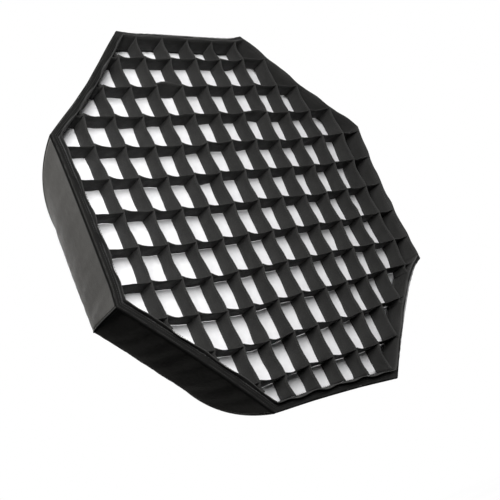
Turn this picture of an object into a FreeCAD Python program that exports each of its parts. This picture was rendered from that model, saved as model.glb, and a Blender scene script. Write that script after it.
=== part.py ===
import FreeCAD, Part
import math
import os

import Sketcher
from FreeCAD import Placement, Rotation, Vector

# An eight-sided studio softbox with a square-cell fabric honeycomb grid over its front.
# Frame: +Z up, the light leaves along -Y. The origin is the middle of the lamp adapter's bore,
# whose axis is the row's Y axis; the lamp head stands behind it, on +Y. Millimetres throughout.
#
# "Depth" below is measured rearwards (+Y) from the rim plane, the plane of the shell's front edge.
# An "apothem" is the distance from the axis to one flat of an octagon.

DIMENSIONS = (
    # the octagon and the bowed shell
    ("across_flats", 900.0, "outside of the shell at the rim, flat to flat"),
    ("shell_depth", 482.0, "rim plane to the rear face of the speed ring"),
    ("bow_radius", 706.0, "radius of the shell's bow in a corner plane"),
    ("rim_slope", 14.0, "inward lean of the bow at the rim, degrees"),
    ("shell_thick", 1.5, "shell cloth with its lining"),
    ("shell_rear_radius", 95.0, "corner radius of the shell's rear opening"),
    ("seam_gap", 1.8, "cloth edge to corner plane, room for the seam piping"),
    ("piping_radius", 1.2, "radius of the seam piping"),
    ("hem_thick", 1.5, "front hem, folded in from the rim"),
    # the lip inside the rim, and what fastens to it
    ("lip_apothem", 437.0, "outside of the lip in the rim plane"),
    ("lip_draft", 0.268, "how far the lip leans in per millimetre of depth"),
    ("lip_depth", 56.0, "how far the lip reaches back"),
    ("band_thick", 1.5, "lip, border and each half of the touch tape"),
    ("tape_gap", 0.3, "between the hook tape and the loop tape"),
    ("tape_width", 25.0, "hook tape on the grid's border"),
    ("loop_width", 52.0, "loop tape on the lip"),
    ("tape_back", 2.0, "rim plane to the front edge of the touch tape"),
    ("diffuser_depth", 38.0, "rim plane to the front of the diffuser"),
    ("diffuser_thick", 1.0, "diffuser cloth"),
    ("hem_tape_width", 13.0, "hook tape round the diffuser"),
    # the grid
    ("cell_pitch", 75.0, "one cell, strip to strip"),
    ("strip_depth", 46.0, "grid strips, front edge to rear edge"),
    ("strip_thick", 1.0, "grid strips"),
    ("grid_proud", 12.0, "how far the grid stands out of the rim plane"),
    ("slot_clear", 0.4, "slot width over strip thickness, and slot overlap"),
    ("end_clear", 0.1, "strip end to border"),
    # rods
    ("rod_radius", 2.5, "fibreglass rod"),
    ("rod_inset", 8.0, "rod centre line inside the shell's corner"),
    ("rod_tip_radius", 4.0, "plastic cap on the rod's front end"),
    ("pocket_bore", 4.3, "corner pocket, inside radius"),
    ("pocket_radius", 5.5, "corner pocket, outside radius"),
    # speed ring
    ("ring_rear", 11.5, "origin to the ring's rear face, forwards"),
    ("ring_radius", 85.0, "speed ring, outside"),
    ("hub_inner", 61.0, "hub wall, inside radius"),
    ("hub_outer", 66.5, "hub wall, outside radius"),
    ("hub_depth", 26.0, "hub wall, rear face to front edge"),
    ("ledge_radius", 65.0, "counterbore that the adapter's flange turns in"),
    ("ledge_depth", 2.55, "depth of that counterbore"),
    ("step_width", 2.5, "step round the foot of the hub wall"),
    ("step_depth", 14.0, "the same, rear face to front face"),
    ("web_thick", 6.0, "web between hub and outer band"),
    ("blind_depth", 4.2, "shallow pockets in the web"),
    ("band_depth", 10.0, "outer band of the ring"),
    ("band_inner", 81.0, "outer band, inside radius"),
    ("spoke_width", 16.0, "spoke that carries a rod socket"),
    ("spoke_depth", 23.5, "the same, rear face to front face"),
    ("socket_radius", 3.0, "rod socket bore"),
    ("rod_seat_radius", 67.0, "distance from the axis to the bottom of a socket"),
    # lamp adapter
    ("bore_radius", 53.0, "adapter bore"),
    ("tube_wall", 2.0, "adapter tube wall"),
    ("tube_rise", 25.5, "adapter tube above the ring's rear face"),
    ("flange_clear", 0.08, "adapter flange to counterbore, all round"),
    ("seat_clear", 0.05, "the same, to the counterbore's floor"),
    ("flange_sunk", 0.1, "flange face below the ring's rear face"),
    ("flare_radius", 8.0, "flare between flange and tube"),
    ("slot_width", 9.0, "bayonet slot"),
    ("slot_reach", 16.2, "tube's free edge to the far side of the slot's hook"),
    ("slot_turn", 19.8, "slot's middle to the end of its hook"),
    ("hook_near", 8.1, "tube's free edge to the near side of the hook"),
    # clamps
    ("clamp_circle", 71.0, "radius of the clamp circle"),
    ("disc_radius", 7.3, "clamp disc"),
    ("disc_thick", 2.0, "clamp disc thickness"),
    ("screw_radius", 2.0, "clamp screw shank"),
    ("screw_clear", 0.1, "screw to hole, all round"),
    ("screw_head_radius", 3.8, "clamp screw head"),
    ("driver_slot_width", 0.8, "slot across the screw head"),
    ("driver_slot_depth", 1.1, "depth of that slot"),
    ("screw_short", 2.0, "screw tip short of the boss's front face"),
    ("boss_radius", 6.0, "screw boss in the ring"),
    ("boss_depth", 18.0, "screw boss, rear face to front face"),
    # rear collar of the shell
    ("collar_inner", 85.6, "elastic collar, inside radius"),
    ("collar_thick", 1.6, "elastic collar"),
    ("collar_front", 2.0, "panels' rear edge to the collar's front edge"),
    ("collar_rear", 4.0, "ring's rear face to the collar's rear edge"),
)

SIDES = 8
STRIPS_EACH_SIDE = 5           # strips left and right (above and below) of the middle one
CLAMPS = 4
BAYONET_SLOTS = 2
EIGHTH = 360.0 / SIDES         # degrees from one side to the next
HALF_CORNER = EIGHTH / 2       # degrees from a flat's middle to a corner
COS_HALF = math.cos(math.radians(HALF_CORNER))
TAN_HALF = math.tan(math.radians(HALF_CORNER))

doc = FreeCAD.newDocument("softbox_with_grid")
sheet = doc.addObject("Spreadsheet::Sheet", "Dims")
for row, (alias, number, meaning) in enumerate(DIMENSIONS, start=1):
    sheet.set("A%d" % row, meaning)
    sheet.set("B%d" % row, str(number))
    sheet.setAlias("B%d" % row, alias)
doc.recompute()

parts = {}                     # node name -> document object


def dim(alias):
    """A driving dimension, as a number."""
    return float(sheet.get(alias))


# ---------------------------------------------------------------- worked-out positions

# The bow is an arc in each corner plane; this is its centre, as (radius, depth).
RIM_CORNER = dim("across_flats") / 2 / COS_HALF
BOW_CENTRE_R = RIM_CORNER - dim("bow_radius") * math.cos(math.radians(dim("rim_slope")))
BOW_CENTRE_D = -dim("bow_radius") * math.sin(math.radians(dim("rim_slope")))
ROD_BOW = dim("bow_radius") - dim("rod_inset")
RIM_Y = -(dim("ring_rear") + dim("shell_depth"))


def bow_angle(radius, bow):
    """Slope, in degrees, at which an arc of the given bow radius reaches a distance from the axis."""
    return math.degrees(math.acos((radius - BOW_CENTRE_R) / bow))


def bow_point(slope, bow):
    """(distance from the axis, depth) on the arc at a slope in degrees."""
    angle = math.radians(slope)
    return BOW_CENTRE_R + bow * math.cos(angle), BOW_CENTRE_D + bow * math.sin(angle)


SOCKET_MOUTH_ANGLE = bow_angle(dim("ring_radius"), ROD_BOW)
SOCKET_MOUTH_DEPTH = bow_point(SOCKET_MOUTH_ANGLE, ROD_BOW)[1]
ROD_END_ANGLE = bow_angle(dim("rod_seat_radius"), ROD_BOW)
# slopes, in degrees, at which the pieces on a rod's front end start and stop
TIP_START_ANGLE = 14.6
ROD_START_ANGLE = 15.1
POCKET_END_ANGLE = 17.4
CUT_PAST_ANGLE = 1.0
PIPING_START_ANGLE = dim("rim_slope") + 0.1

# Expressions shared by several sub-parts. Each is an apothem in the rim plane.
LIP_OUT = "Dims.lip_apothem"
LIP_IN = "(Dims.lip_apothem - Dims.band_thick)"
LOOP_IN = "(Dims.lip_apothem - 2 * Dims.band_thick)"
HOOK_OUT = "(Dims.lip_apothem - 2 * Dims.band_thick - Dims.tape_gap)"
HOOK_IN = "(Dims.lip_apothem - 3 * Dims.band_thick - Dims.tape_gap)"
BORDER_IN = "(Dims.lip_apothem - 4 * Dims.band_thick - Dims.tape_gap)"
STRIP_REACH = "(Dims.lip_apothem - 4 * Dims.band_thick - Dims.tape_gap - Dims.end_clear)"
GRID_FRONT = "(-Dims.grid_proud)"
GRID_REAR = "(Dims.strip_depth - Dims.grid_proud)"


def leaned(apothem, depth):
    """An apothem expression carried to a depth along the lip's lean."""
    return "(%s - (%s) * Dims.lip_draft)" % (apothem, depth)


def evaluate(expression):
    """The number that an expression on the sheet gives."""
    result = sheet.evalExpression(expression)
    return float(getattr(result, "Value", result))


# ---------------------------------------------------------------- helpers

def new_body(name):
    body = doc.addObject("PartDesign::Body", name)
    body.Label = name
    parts[name] = body
    return body


def origin_plane(body, role):
    return next(item for item in body.Origin.OriginFeatures if item.Role == role)


def new_sketch(body, role, name, offset=None):
    """A sketch on one of the body's origin planes; offset is an expression along its normal."""
    sketch = body.newObject("Sketcher::SketchObject", name)
    sketch.AttachmentSupport = [(origin_plane(body, role), "")]
    sketch.MapMode = "FlatFace"
    if offset is not None:
        sketch.setExpression("AttachmentOffset.Base.z", offset)
    return sketch


def depth_offset(depth):
    """Offset of an XZ-plane sketch that lies at a depth (that plane's normal is -Y)."""
    return "Dims.ring_rear + Dims.shell_depth - (%s)" % depth


def add_polygon(sketch, points):
    """Closed run of straight lines; returns the index of the first one."""
    first = len(sketch.Geometry)
    corners = [Vector(x, y, 0) for x, y in points]
    for start, end in zip(corners, corners[1:] + corners[:1]):
        sketch.addGeometry(Part.LineSegment(start, end), False)
    count = len(corners)
    for step in range(count):
        sketch.addConstraint(
            Sketcher.Constraint("Coincident", first + step, 2, first + (step + 1) % count, 1))
    return first


def add_octagon(sketch, apothem):
    """Regular octagon about the origin, flats up and down; apothem is an expression."""
    corner = evaluate(apothem) / COS_HALF
    angles = [math.radians(EIGHTH * step - HALF_CORNER) for step in range(SIDES)]
    first = add_polygon(sketch, [(corner * math.cos(a), corner * math.sin(a)) for a in angles])
    circle = sketch.addGeometry(Part.Circle(Vector(0, 0, 0), Vector(0, 0, 1), corner), True)
    sketch.addConstraint(Sketcher.Constraint("Coincident", circle, 3, -1, 1))
    for step in range(SIDES):
        sketch.addConstraint(Sketcher.Constraint("PointOnObject", first + step, 1, circle))
        if step:
            sketch.addConstraint(Sketcher.Constraint("Equal", first, first + step))
    sketch.addConstraint(Sketcher.Constraint("Vertical", first))
    index = sketch.addConstraint(Sketcher.Constraint("Radius", circle, corner))
    sketch.setExpression("Constraints[%d]" % index, "%s / %.12f" % (apothem, COS_HALF))


def octagon_at(body, name, apothem, depth):
    sketch = new_sketch(body, "XZ_Plane", name, depth_offset(depth))
    add_octagon(sketch, leaned(apothem, depth))
    return sketch


def pad(body, sketch, length, symmetric=False, reverse=False):
    feature = body.newObject("PartDesign::Pad", sketch.Name + "_pad")
    feature.Profile = sketch
    if symmetric:
        feature.SideType = "Symmetric"
    feature.Reversed = reverse
    feature.setExpression("Length", length)
    body.Tip = feature
    return feature


def pocket(body, sketch, length=None, symmetric=False, reverse=False):
    """A cut; with no length it goes through everything. It has to take something away."""
    doc.recompute()
    before = body.Shape.Volume
    feature = body.newObject("PartDesign::Pocket", sketch.Name + "_pocket")
    feature.Profile = sketch
    if symmetric:
        feature.SideType = "Symmetric"
    feature.Reversed = reverse
    if length is None:
        feature.Type = "ThroughAll"
    else:
        feature.setExpression("Length", length)
    body.Tip = feature
    doc.recompute()
    if not body.Shape.Volume < before - 1e-6:
        raise RuntimeError("%s cuts nothing" % feature.Name)
    return feature


def ring_pattern(body, features, count):
    """Repeat features evenly about the body's Y axis."""
    pattern = body.newObject("PartDesign::PolarPattern", features[0].Name + "_ring")
    pattern.Originals = features
    pattern.Axis = (next(f for f in body.Origin.OriginFeatures if f.Role == "Y_Axis"), [""])
    pattern.Angle = 360.0
    pattern.Occurrences = count
    body.Tip = pattern
    doc.recompute()
    return pattern


def revolved(body, sketch):
    feature = body.newObject("PartDesign::Revolution", sketch.Name + "_turned")
    feature.Profile = sketch
    feature.ReferenceAxis = (next(f for f in body.Origin.OriginFeatures if f.Role == "Y_Axis"), [""])
    feature.Angle = 360.0
    body.Tip = feature
    doc.recompute()
    return feature


def about_y(angle):
    """Placement that turns +X towards +Z by an angle in degrees."""
    return Placement(Vector(0, 0, 0), Rotation(Vector(0, 1, 0), -angle))


def group(name, members):
    """Several like solids in one node."""
    compound = doc.addObject("Part::Compound", name)
    compound.Label = name
    compound.Links = members
    parts[name] = compound
    return compound


# ---------------------------------------------------------------- grid strips

LEAST_END = 0.25               # shortest strip end past its last crossing, in cells


def strip_half(offset_steps, depth):
    """Half-length expression of a strip at a depth: the flat's limit or the slanted side's."""
    reach = leaned(STRIP_REACH, depth)
    slanted = "sqrt(2) * %s - %d * Dims.cell_pitch - Dims.strip_thick / 2"
    return "min(%s; %s)" % (reach, slanted % (reach, abs(offset_steps)))


def crossing_steps(offset_steps):
    """Crossings that are inside the border at both edges of the strip."""
    reach = evaluate(strip_half(offset_steps, GRID_REAR))
    pitch = dim("cell_pitch")
    return min(STRIPS_EACH_SIDE, int((reach - LEAST_END * pitch) / pitch))


def make_strip(name, upright, offset_steps):
    """One strip of the grid with a half-depth slot at each crossing.

    Uprights are slotted from the rear edge and cross strips from the front edge, so they interlock.
    A cross strip that meets its last upright right at the border stops against that upright.
    """
    body = new_body(name)
    front = evaluate(GRID_FRONT) + RIM_Y
    rear = evaluate(GRID_REAR) + RIM_Y
    half_front = strip_half(offset_steps, GRID_FRONT)
    half_rear = strip_half(offset_steps, GRID_REAR)
    crossings = crossing_steps(offset_steps)
    next_crossing = (crossings + 1) * dim("cell_pitch")
    if not upright and crossings < STRIPS_EACH_SIDE and next_crossing < evaluate(half_front):
        stop = "%d * Dims.cell_pitch - Dims.strip_thick / 2 - Dims.end_clear" % (crossings + 1)
        half_front = "min(%s; %s)" % (half_front, stop)
        half_rear = "min(%s; %s)" % (half_rear, stop)
    lengths = (evaluate(half_front), evaluate(half_rear))
    outline = [(-lengths[0], front), (lengths[0], front), (lengths[1], rear), (-lengths[1], rear)]
    sketch = new_sketch(body, "YZ_Plane" if upright else "XY_Plane", name + "_outline")
    first = add_polygon(sketch, [(y, u) for u, y in outline] if upright else outline)
    along, across = ("DistanceY", "DistanceX") if upright else ("DistanceX", "DistanceY")
    half_lengths = (half_front, half_front, half_rear, half_rear)
    depths = (GRID_FRONT, GRID_FRONT, GRID_REAR, GRID_REAR)
    for step in range(4):
        sign = "-" if step in (0, 3) else ""
        u, y = outline[step]
        for kind, number, expression in (
                (along, u, "%s(%s)" % (sign, half_lengths[step])),
                (across, y, "%s - Dims.ring_rear - Dims.shell_depth" % depths[step])):
            index = sketch.addConstraint(
                Sketcher.Constraint(kind, -1, 1, first + step, 1, number))
            sketch.setExpression("Constraints[%d]" % index, expression)
    pad(body, sketch, "Dims.strip_thick", symmetric=True)
    doc.recompute()

    # the first slot, at one end of the row of crossings, then the same slot at every pitch
    middle = (front + rear) / 2
    overlap = dim("slot_clear")
    half_slot = (dim("strip_thick") + dim("slot_clear")) / 2
    slot_y = (middle - overlap, rear + overlap) if upright else (front - overlap, middle + overlap)
    start = -crossings * dim("cell_pitch")
    corners = [(start - half_slot, slot_y[0]), (start + half_slot, slot_y[0]),
               (start + half_slot, slot_y[1]), (start - half_slot, slot_y[1])]
    slot = new_sketch(body, "YZ_Plane" if upright else "XY_Plane", name + "_slot")
    add_polygon(slot, [(y, u) for u, y in corners] if upright else corners)
    cut = pocket(body, slot, symmetric=True)
    row = body.newObject("PartDesign::LinearPattern", name + "_slots")
    row.Originals = [cut]
    role = "Z_Axis" if upright else "X_Axis"
    row.Direction = (next(f for f in body.Origin.OriginFeatures if f.Role == role), [""])
    row.setExpression("Length", "%d * Dims.cell_pitch" % (2 * crossings))
    row.Occurrences = 2 * crossings + 1
    body.Tip = row
    body.setExpression("Placement.Base.%s" % ("x" if upright else "z"),
                       "%d * Dims.cell_pitch" % offset_steps)


def make_strips():
    for number, steps in enumerate(range(-STRIPS_EACH_SIDE, STRIPS_EACH_SIDE + 1), start=1):
        make_strip("grid_upright_%02d" % number, True, steps)
        make_strip("grid_cross_%02d" % number, False, steps)


# ---------------------------------------------------------------- octagonal bands

def make_band(name, outside, inside, front, rear):
    """An eight-sided band that leans inwards with the lip; all four limits are expressions."""
    body = new_body(name)
    for kind, apothem in (("Additive", outside), ("Subtractive", inside)):
        near = octagon_at(body, "%s_%s_front" % (name, kind.lower()), apothem, front)
        far = octagon_at(body, "%s_%s_rear" % (name, kind.lower()), apothem, rear)
        doc.recompute()
        before = body.Shape.Volume if kind == "Subtractive" else None
        loft = body.newObject("PartDesign::%sLoft" % kind, "%s_%s" % (name, kind.lower()))
        loft.Profile = near
        loft.Sections = [far]
        loft.Ruled = True
        body.Tip = loft
        doc.recompute()
        if before is not None and not body.Shape.Volume < before:
            raise RuntimeError("%s is not hollow" % name)


def make_flat_octagon(name, outside, front, thickness, inside=None):
    """A flat octagonal sheet, or a flat octagonal frame when inside is given."""
    body = new_body(name)
    sketch = new_sketch(body, "XZ_Plane", name + "_outline", depth_offset(front))
    add_octagon(sketch, outside)
    if inside is not None:
        add_octagon(sketch, inside)
    pad(body, sketch, thickness, reverse=True)


def make_bands():
    make_band("grid_border", HOOK_IN, BORDER_IN, GRID_FRONT, GRID_REAR)
    make_band("grid_hook_tape", HOOK_OUT, HOOK_IN, "Dims.tape_back",
              "Dims.tape_back + Dims.tape_width")
    make_band("shell_lip", LIP_OUT, LIP_IN, "0", "Dims.lip_depth")
    make_band("lip_loop_tape", LIP_IN, LOOP_IN, "Dims.tape_back",
              "Dims.tape_back + Dims.loop_width")
    sheet_rear = "Dims.diffuser_depth + Dims.diffuser_thick"
    make_band("diffuser_hook_tape", HOOK_OUT, HOOK_IN, sheet_rear,
              "%s + Dims.hem_tape_width" % sheet_rear)
    make_flat_octagon("diffuser_cloth", leaned(HOOK_OUT, sheet_rear), "Dims.diffuser_depth",
                      "Dims.diffuser_thick")
    make_flat_octagon("front_hem", "Dims.across_flats / 2", "-Dims.hem_thick", "Dims.hem_thick",
                      inside=LIP_IN)


# ---------------------------------------------------------------- shell, rods, pockets

def circle_through(first, middle, last):
    """Centre of the circle through three points of a plane."""
    arc = Part.Arc(*[Vector(x, y, 0) for x, y in (first, middle, last)])
    centre = arc.toShape().Curve.Center
    return centre.x, centre.y


def panel_arc():
    """The shell's bow seen square to a flat: centre, radius, and the angle of its rear end."""
    rim, rear = dim("rim_slope"), bow_angle(dim("shell_rear_radius"), dim("bow_radius"))
    points = []
    for slope in (rim, (rim + rear) / 2, rear):
        radius, depth = bow_point(slope, dim("bow_radius"))
        points.append((depth + RIM_Y, radius * COS_HALF))
    centre = circle_through(*points)
    radius = math.dist(centre, points[0])
    rear_end = math.atan2(points[2][1] - centre[1], points[2][0] - centre[0])
    return centre, radius, rear_end


def make_panels():
    """Eight gores. Each is an arc-shaped strip, trimmed along the planes of its two corners."""
    centre, outer, rear_end = panel_arc()
    inner = outer - dim("shell_thick")
    hub = Vector(centre[0], centre[1], 0)
    axis = Vector(0, 0, 1)

    def on_arc(size, angle):
        return hub + Vector(size * math.cos(angle), size * math.sin(angle), 0)

    def rim_end(size):
        return math.acos((RIM_Y - centre[0]) / size)

    for number in range(SIDES):
        name = "shell_panel_%d" % (number + 1)
        body = new_body(name)
        profile = new_sketch(body, "YZ_Plane", name + "_bow")
        for size in (outer, inner):
            profile.addGeometry(Part.ArcOfCircle(Part.Circle(hub, axis, size),
                                                 rear_end, rim_end(size)), False)
        for ends in ((rear_end, rear_end), (rim_end(outer), rim_end(inner))):
            profile.addGeometry(Part.LineSegment(on_arc(outer, ends[0]), on_arc(inner, ends[1])),
                                False)
        for line, vertex in ((2, 1), (3, 2)):
            profile.addConstraint(Sketcher.Constraint("Coincident", line, 1, 0, vertex))
            profile.addConstraint(Sketcher.Constraint("Coincident", line, 2, 1, vertex))
        pad(body, profile, "Dims.across_flats", symmetric=True)

        trim = new_sketch(body, "XZ_Plane", name + "_trim")
        back_off = dim("seam_gap") / COS_HALF
        near, far = dim("ring_radius") / 2, dim("across_flats")
        for side in (1, -1):
            add_polygon(trim, [(side * (near * TAN_HALF - back_off), near),
                               (side * (far * TAN_HALF - back_off), far),
                               (side * far, far), (side * far, near)])
        pocket(body, trim, symmetric=True)
        body.Placement = about_y(EIGHTH * number)


def bow_tube(name, corner_angle, bow, radius, start, end):
    """A round bar bent along the bow in one corner plane, between two slopes in degrees."""
    tube = doc.addObject("Part::Torus", name)
    tube.Radius1 = bow
    tube.setExpression("Radius2", "Dims." + radius)
    tube.Angle3 = end - start
    in_plane = Placement(Vector(BOW_CENTRE_R, RIM_Y + BOW_CENTRE_D, 0),
                         Rotation(Vector(0, 0, 1), start))
    tube.Placement = about_y(corner_angle).multiply(in_plane)
    return tube


def make_rods():
    tips = []
    pockets = []
    piping = []
    rear_slope = bow_angle(dim("shell_rear_radius"), dim("bow_radius"))
    for number in range(SIDES):
        corner = HALF_CORNER + EIGHTH * number
        label = "rod_%d" % (number + 1)
        rod = bow_tube(label, corner, ROD_BOW, "rod_radius", ROD_START_ANGLE, ROD_END_ANGLE)
        rod.Label = label
        parts[label] = rod
        tips.append(bow_tube("tip_%d" % number, corner, ROD_BOW, "rod_tip_radius",
                             TIP_START_ANGLE, ROD_START_ANGLE))
        outside = bow_tube("pocket_outside_%d" % number, corner, ROD_BOW, "pocket_radius",
                           TIP_START_ANGLE, POCKET_END_ANGLE)
        inside = bow_tube("pocket_inside_%d" % number, corner, ROD_BOW, "pocket_bore",
                          TIP_START_ANGLE - CUT_PAST_ANGLE,
                          POCKET_END_ANGLE + CUT_PAST_ANGLE)
        sleeve = doc.addObject("Part::Cut", "pocket_%d" % number)
        sleeve.Base = outside
        sleeve.Tool = inside
        pockets.append(sleeve)
        piping.append(bow_tube("piping_%d" % number, corner, dim("bow_radius"), "piping_radius",
                               PIPING_START_ANGLE, rear_slope))
    group("rod_tips", tips)
    group("corner_pockets", pockets)
    group("seam_piping", piping)


def make_collar():
    """Elastic collar that closes the shell round the speed ring, behind the rods."""
    body = new_body("rear_collar")
    sketch = new_sketch(body, "XY_Plane", "collar_section")
    inner, thick = dim("collar_inner"), dim("collar_thick")
    front = RIM_Y + bow_point(bow_angle(dim("shell_rear_radius"), dim("bow_radius")),
                              dim("bow_radius"))[1] + dim("collar_front")
    rear = -dim("ring_rear") + dim("collar_rear")
    outer = inner + thick
    add_polygon(sketch, [(inner, front), (outer, front), (outer, rear), (inner, rear)])
    revolved(body, sketch)


# ---------------------------------------------------------------- speed ring

def ring_y(depth_from_rear):
    """Y of a level of the ring, measured forwards from its rear face."""
    return -dim("ring_rear") - depth_from_rear


def sector(sketch, inner, outer, start, end):
    """Annular window between two radii and two angles in degrees."""
    low, high = math.radians(start), math.radians(end)
    centre, axis = Vector(0, 0, 0), Vector(0, 0, 1)
    first = len(sketch.Geometry)
    for radius in (inner, outer):
        sketch.addGeometry(Part.ArcOfCircle(Part.Circle(centre, axis, radius), low, high), False)
    for angle in (low, high):
        sketch.addGeometry(Part.LineSegment(
            Vector(inner * math.cos(angle), inner * math.sin(angle), 0),
            Vector(outer * math.cos(angle), outer * math.sin(angle), 0)), False)
    for line, vertex in ((first + 2, 1), (first + 3, 2)):
        sketch.addConstraint(Sketcher.Constraint("Coincident", line, 1, first, vertex))
        sketch.addConstraint(Sketcher.Constraint("Coincident", line, 2, first + 1, vertex))


RING_TURN = HALF_CORNER        # the first rod socket stands at this angle
CLAMP_ANGLE = 16.0             # from a rod spoke to the clamp beside it
QUARTERS = 4                   # the ring's openings repeat four times
WINDOW_RADII = (67.5, 80.0)
LONG_WINDOW = (52.0, 83.0)     # degrees from a rod spoke, as are the next two
SHORT_WINDOW = (7.5, 24.0)
BLIND_POCKET = (28.5, 37.5)
BLIND_RADII = (69.5, 79.0)
SPOKE_ROOT = 1.0               # spokes start this far inside the hub wall
SOCKET_PAST_SEAT = 0.5         # socket bore beyond the rod's end
SOCKET_PAST_MOUTH = 6.0


def make_speed_ring():
    body = new_body("speed_ring")
    section = new_sketch(body, "XY_Plane", "ring_section")
    hub_in, hub_out, ledge = dim("hub_inner"), dim("hub_outer"), dim("ledge_radius")
    band_in, outside = dim("band_inner"), dim("ring_radius")
    step_out, step_front = hub_out + dim("step_width"), dim("step_depth")
    outline = [(hub_in, dim("hub_depth")), (hub_out, dim("hub_depth")), (hub_out, step_front),
               (step_out, step_front), (step_out, dim("web_thick")), (band_in, dim("web_thick")),
               (band_in, dim("band_depth")), (outside, dim("band_depth")), (outside, 0.0),
               (ledge, 0.0), (ledge, dim("ledge_depth")), (hub_in, dim("ledge_depth"))]
    add_polygon(section, [(radius, ring_y(depth)) for radius, depth in outline])
    revolved(body, section)

    rear = "Dims.ring_rear"
    # windows through the web: one long one and one short one in each quarter
    windows = new_sketch(body, "XZ_Plane", "ring_windows", rear)
    sector(windows, *WINDOW_RADII, *LONG_WINDOW)
    sector(windows, *WINDOW_RADII, *SHORT_WINDOW)
    through = pocket(body, windows, symmetric=True, length="2 * Dims.boss_depth")
    ring_pattern(body, [through], QUARTERS)
    # a shallow pocket beside every other spoke
    blind = new_sketch(body, "XZ_Plane", "ring_blind_pockets", rear)
    sector(blind, *BLIND_RADII, *BLIND_POCKET)
    shallow = pocket(body, blind, length="Dims.blind_depth", reverse=True)
    ring_pattern(body, [shallow], QUARTERS)

    # spokes that carry the rod sockets
    spokes = new_sketch(body, "XZ_Plane", "ring_spokes", rear)
    half = dim("spoke_width") / 2
    flush = math.sqrt(outside ** 2 - half ** 2)
    root = hub_out - SPOKE_ROOT
    add_polygon(spokes, [(root, -half), (flush, -half), (flush, half), (root, half)])
    ring_pattern(body, [pad(body, spokes, "Dims.spoke_depth")], SIDES)

    # a screw boss in each short window
    boss = new_sketch(body, "XZ_Plane", "ring_bosses", rear)
    turn = math.radians(CLAMP_ANGLE)
    circle = dim("clamp_circle")
    middle = Vector(circle * math.cos(turn), circle * math.sin(turn), 0)
    boss.addGeometry(Part.Circle(middle, Vector(0, 0, 1), dim("boss_radius")), False)
    ring_pattern(body, [pad(body, boss, "Dims.boss_depth")], CLAMPS)
    holes = new_sketch(body, "XZ_Plane", "ring_screw_holes", rear)
    hole_radius = dim("screw_radius") + dim("screw_clear")
    holes.addGeometry(Part.Circle(middle, Vector(0, 0, 1), hole_radius), False)
    ring_pattern(body, [pocket(body, holes, symmetric=True, length="3 * Dims.boss_depth")], CLAMPS)

    # rod sockets, bored along the rods' own slope
    before = body.Shape.Volume
    bore = body.newObject("PartDesign::SubtractiveCylinder", "ring_socket")
    bore.AttachmentSupport = [(origin_plane(body, "XY_Plane"), "")]
    bore.MapMode = "FlatFace"
    bore.setExpression("Radius", "Dims.socket_radius")
    seat = dim("rod_seat_radius") - SOCKET_PAST_SEAT
    mouth = dim("ring_radius") + SOCKET_PAST_MOUTH
    seat_depth = bow_point(ROD_END_ANGLE, ROD_BOW)[1]
    lean = Vector(dim("ring_radius") - dim("rod_seat_radius"), SOCKET_MOUTH_DEPTH - seat_depth, 0)
    lean.normalize()
    bore.Height = (mouth - seat) / lean.x
    start = Vector(dim("rod_seat_radius"), RIM_Y + seat_depth, 0) - lean * SOCKET_PAST_SEAT
    bore.AttachmentOffset = Placement(start, Rotation(Vector(0, 0, 1), lean))
    body.Tip = bore
    doc.recompute()
    ring_pattern(body, [bore], SIDES)
    if not body.Shape.Volume < before:
        raise RuntimeError("the rod sockets cut nothing")
    body.Placement = about_y(RING_TURN)


def make_adapter():
    """Flanged tube with bayonet slots; the ring turns on its flange."""
    body = new_body("lamp_adapter")
    section = new_sketch(body, "XY_Plane", "adapter_section")
    bore, flare = dim("bore_radius"), dim("flare_radius")
    tube = bore + dim("tube_wall")
    rim = dim("ledge_radius") - dim("flange_clear")
    base = ring_y(dim("ledge_depth") - dim("seat_clear"))
    face = ring_y(dim("flange_sunk"))
    top = ring_y(-dim("tube_rise"))
    path = [(tube + flare, face), (rim, face), (rim, base), (bore, base), (bore, top), (tube, top),
            (tube, face + flare)]
    corners = [Vector(x, y, 0) for x, y in path]
    for start, end in zip(corners, corners[1:]):
        section.addGeometry(Part.LineSegment(start, end), False)
    hub = Vector(tube + flare, face + flare, 0)
    section.addGeometry(Part.ArcOfCircle(Part.Circle(hub, Vector(0, 0, 1), flare),
                                         math.pi, 1.5 * math.pi), False)
    lines = len(corners) - 1
    for step in range(lines - 1):
        section.addConstraint(Sketcher.Constraint("Coincident", step, 2, step + 1, 1))
    section.addConstraint(Sketcher.Constraint("Coincident", lines - 1, 2, lines, 1))
    section.addConstraint(Sketcher.Constraint("Coincident", lines, 2, 0, 1))
    revolved(body, section)

    # J-shaped bayonet slot: in from the tube's rear edge, then round
    slot = new_sketch(body, "YZ_Plane", "bayonet_slot", "Dims.bore_radius / 2")
    half, turn_end = dim("slot_width") / 2, -dim("slot_turn")
    near, far = top - dim("hook_near"), top - dim("slot_reach")
    past = top + dim("tube_wall")
    add_polygon(slot, [(past, -half), (past, half), (far, half), (far, turn_end),
                       (near, turn_end), (near, -half)])
    cut = pocket(body, slot, length="Dims.bore_radius", reverse=True)
    ring_pattern(body, [cut], BAYONET_SLOTS)
    body.Placement = about_y(90.0)


SCREW_TURNS = (25.0, 65.0, 105.0, 145.0)    # how far each screw happens to be turned


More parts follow.
